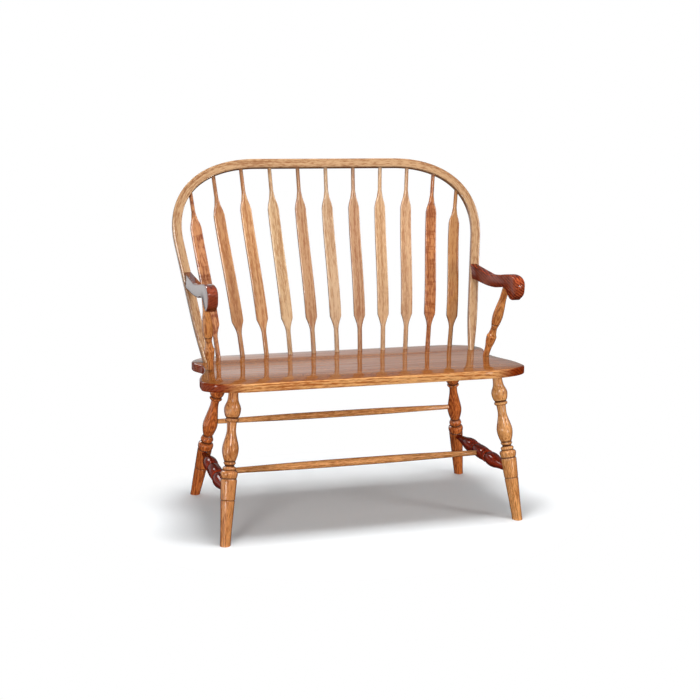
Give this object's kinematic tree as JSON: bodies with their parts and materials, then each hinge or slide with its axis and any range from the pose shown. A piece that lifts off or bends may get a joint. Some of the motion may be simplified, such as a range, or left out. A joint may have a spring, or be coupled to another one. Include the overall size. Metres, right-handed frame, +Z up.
{
  "type": "deacons bench",
  "caption": "Bow-back wooden bench with a flat plank seat, arrow-shaped back slats, scrolled arms on turned posts, and splayed turned legs tied by stretchers.",
  "frame": {"origin": "on the floor, under the middle of the bench's box", "axes": "+Z up, -Y to the front that a sitter faces, +X along the bench, to the right as seen from the front"},
  "size_m": [1.0132, 0.6132, 1.0609],
  "materials": {
    "seat_oak": "mirror-gloss lacquer over brown oak",
    "bow_oak": "gloss lacquer over pale tan oak, grain lengthwise",
    "slat_oak": "gloss lacquer over honey oak, mixed tones",
    "turned_oak": "gloss lacquer over honey oak, dark burnt score lines",
    "arm_oak": "gloss lacquer over dark red-brown oak",
    "stretcher_oak": "gloss lacquer over very dark red-brown oak",
    "screw_steel": "plain bright steel"
  },
  "bodies": {
    "root": {"seat_board_1": "seat_oak", "seat_board_2": "seat_oak", "seat_board_3": "seat_oak", "seat_board_4": "seat_oak", "bow": "bow_oak", "arrow_slat_01": "slat_oak", "arrow_slat_02": "slat_oak", "arrow_slat_03": "slat_oak", "arrow_slat_04": "slat_oak", "arrow_slat_05": "slat_oak", "arrow_slat_06": "slat_oak", "arrow_slat_07": "slat_oak", "arrow_slat_08": "slat_oak", "arrow_slat_09": "slat_oak", "arrow_slat_10": "slat_oak", "arrow_slat_11": "slat_oak", "leg_front_left": "turned_oak", "leg_rear_left": "turned_oak", "side_stretcher_left": "stretcher_oak", "arm_post_left": "turned_oak", "arm_left": "arm_oak", "arm_screw_left": "screw_steel", "arm_plug_left": "bow_oak", "leg_front_right": "turned_oak", "leg_rear_right": "turned_oak", "side_stretcher_right": "stretcher_oak", "arm_post_right": "turned_oak", "arm_right": "arm_oak", "arm_screw_right": "screw_steel", "arm_plug_right": "bow_oak", "middle_stretcher": "turned_oak", "rear_stretcher": "turned_oak"}
  },
  "joints": []
}
